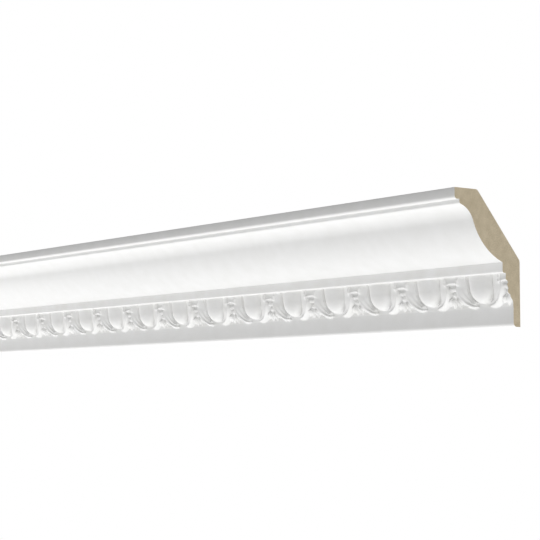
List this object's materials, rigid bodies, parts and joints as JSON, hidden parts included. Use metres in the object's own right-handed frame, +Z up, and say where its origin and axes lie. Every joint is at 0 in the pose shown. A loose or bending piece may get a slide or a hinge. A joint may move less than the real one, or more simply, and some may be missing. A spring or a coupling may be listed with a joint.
{
  "type": "cornice moulding length",
  "caption": "Length of egg-and-dart crown moulding with a diagonal back, fixed where wall meets ceiling; white-primed face over a rigid foam body, cut square at both ends",
  "frame": {"origin": "middle of the flat face that lies against the wall, half-way along the length", "axes": "+X along the moulding, +Y into the wall, +Z up to the ceiling"},
  "size_m": [1.12, 0.09, 0.137],
  "materials": {
    "primed_foam": "white primer on moulded rigid foam, bare foam at the cut ends and back"
  },
  "bodies": {
    "root": {"cornice_length": "primed_foam"}
  },
  "joints": []
}
